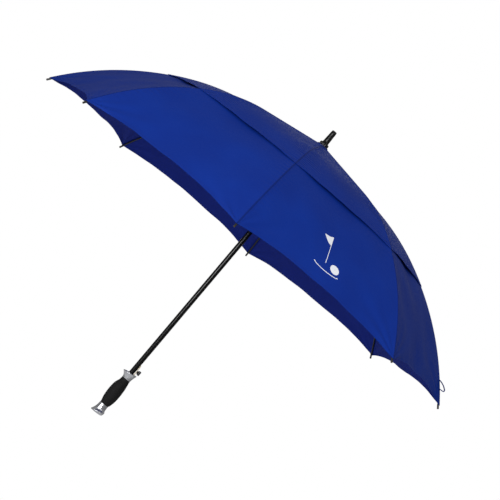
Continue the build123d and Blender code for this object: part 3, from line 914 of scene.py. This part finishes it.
stage = {
    "floorAt": -0.90, "floorRadius": 2.6, "fade": (0.45, 0.98), "paper": (0.94, 0.945, 0.95, 1.0),
    "horizon": 0.22, "poles": 0.46,              # the world's light
    "aim": (0.029, 0.010, 0.58),
    "viewUp": (-0.643, -0.052, 0.764), "viewRight": (0.764, 0.017, 0.645),
}


def makeFloor():
    # a disc whose rim fades out
    rows, columns = 24, 96
    angle = np.linspace(0, 2 * np.pi, columns, endpoint=False)[None, :]
    radius = np.linspace(0.02, stage["floorRadius"], rows)[:, None]
    level = np.full((rows, columns), stage["floorAt"])
    rings = np.stack([radius * np.cos(angle), radius * np.sin(angle), level], -1)
    points = np.vstack([rings.reshape(-1, 3), [[0.0, 0.0, stage["floorAt"]]]])
    here = np.arange(columns)
    hub = np.stack([here, (here + 1) % columns, np.full(columns, rows * columns)], -1)
    mesh = bpy.data.meshes.new("floor")
    mesh.from_pydata(points.tolist(), [], gridFaces(rows, columns, wrap=True).tolist() + hub.tolist())
    floor = bpy.data.objects.new("floor", mesh)
    bpy.context.scene.collection.objects.link(floor)
    material, t, shader = newMaterial("floorPaper", **{"Specular IOR Level": 0.1})
    place = t.add("ShaderNodeTexCoord").outputs["Object"]
    grain = useGroup(t, "grain", {"Place": place, "Scale": 2.0, "Fine": 60.0})
    deeper = tuple(0.97 * value for value in stage["paper"][:3]) + (1.0,)
    t.link(t.mixColour(grain["Broad"], deeper, stage["paper"]), shader.inputs["Base Color"])
    t.link(t.stretch(grain["Fine"], 0.3, 0.7, 0.75, 0.85), shader.inputs["Roughness"])
    apart = t.add("ShaderNodeSeparateXYZ", {0: place}).outputs
    out = t.math("SQRT", t.math("ADD", t.math("POWER", apart[0], 2.0), t.math("POWER", apart[1], 2.0)))
    near, far = (share * stage["floorRadius"] for share in stage["fade"])
    t.link(t.stretch(out, near, far, 1.0, 0.0), shader.inputs["Alpha"])
    mesh.materials.append(material)


def makeWorld():
    # white behind everything; as light it is dim along the horizon and brighter above and below
    world = bpy.data.worlds.new("studio")
    world.use_nodes = True
    bpy.context.scene.world = world
    t = Tree(world.node_tree)
    background = world.node_tree.nodes["Background"]
    seen = t.add("ShaderNodeLightPath").outputs["Is Camera Ray"]
    background.inputs["Color"].default_value = (1.0, 1.0, 1.0, 1.0)
    around = t.add("ShaderNodeTexCoord").outputs["Generated"]
    upwards = t.add("ShaderNodeSeparateXYZ", {0: around}).outputs[2]
    rise = stage["poles"] - stage["horizon"]
    glow = t.math("MULTIPLY_ADD", t.math("ABSOLUTE", upwards), rise, stage["horizon"])
    t.link(t.mix(seen, glow, 1.0), background.inputs["Strength"])


def areaLight(name, offset, size, power, glossOnly=False):
    # offset is (right, up, towards the camera) from the aim, in the view's own directions
    right, up = Vector(stage["viewRight"]).normalized(), Vector(stage["viewUp"]).normalized()
    back = right.cross(up)
    aim = Vector(stage["aim"])
    lamp = bpy.data.objects.new(name, bpy.data.lights.new(name, "AREA"))
    bpy.context.scene.collection.objects.link(lamp)
    lamp.data.shape = "RECTANGLE"
    lamp.data.size, lamp.data.size_y = size
    lamp.data.energy = power
    lamp.visible_diffuse = not glossOnly
    place = aim + right * offset[0] + up * offset[1] + back * offset[2]
    away = (place - aim).normalized()
    side = Vector((0.0, 0.0, 1.0)).cross(away).normalized()      # the long side stands along the shaft
    turn = Matrix((side, away.cross(side), away)).transposed()
    lamp.matrix_world = Matrix.Translation(place) @ turn.to_4x4()


makeFloor()
makeWorld()
areaLight("keyLight", (-0.5, 1.0, 3.4), (1.3, 1.3), 80)
areaLight("sideStrip", (-1.85, 1.55, 2.15), (0.22, 2.2), 26, glossOnly=True)
areaLight("fillLight", (2.5, 0.3, 2.5), (1.2, 1.6), 12)
areaLight("backLight", (0.4, 0.6, -3.2), (1.6, 1.6), 10)
bpy.context.scene.view_settings.view_transform = "Standard"
print("stage lit")
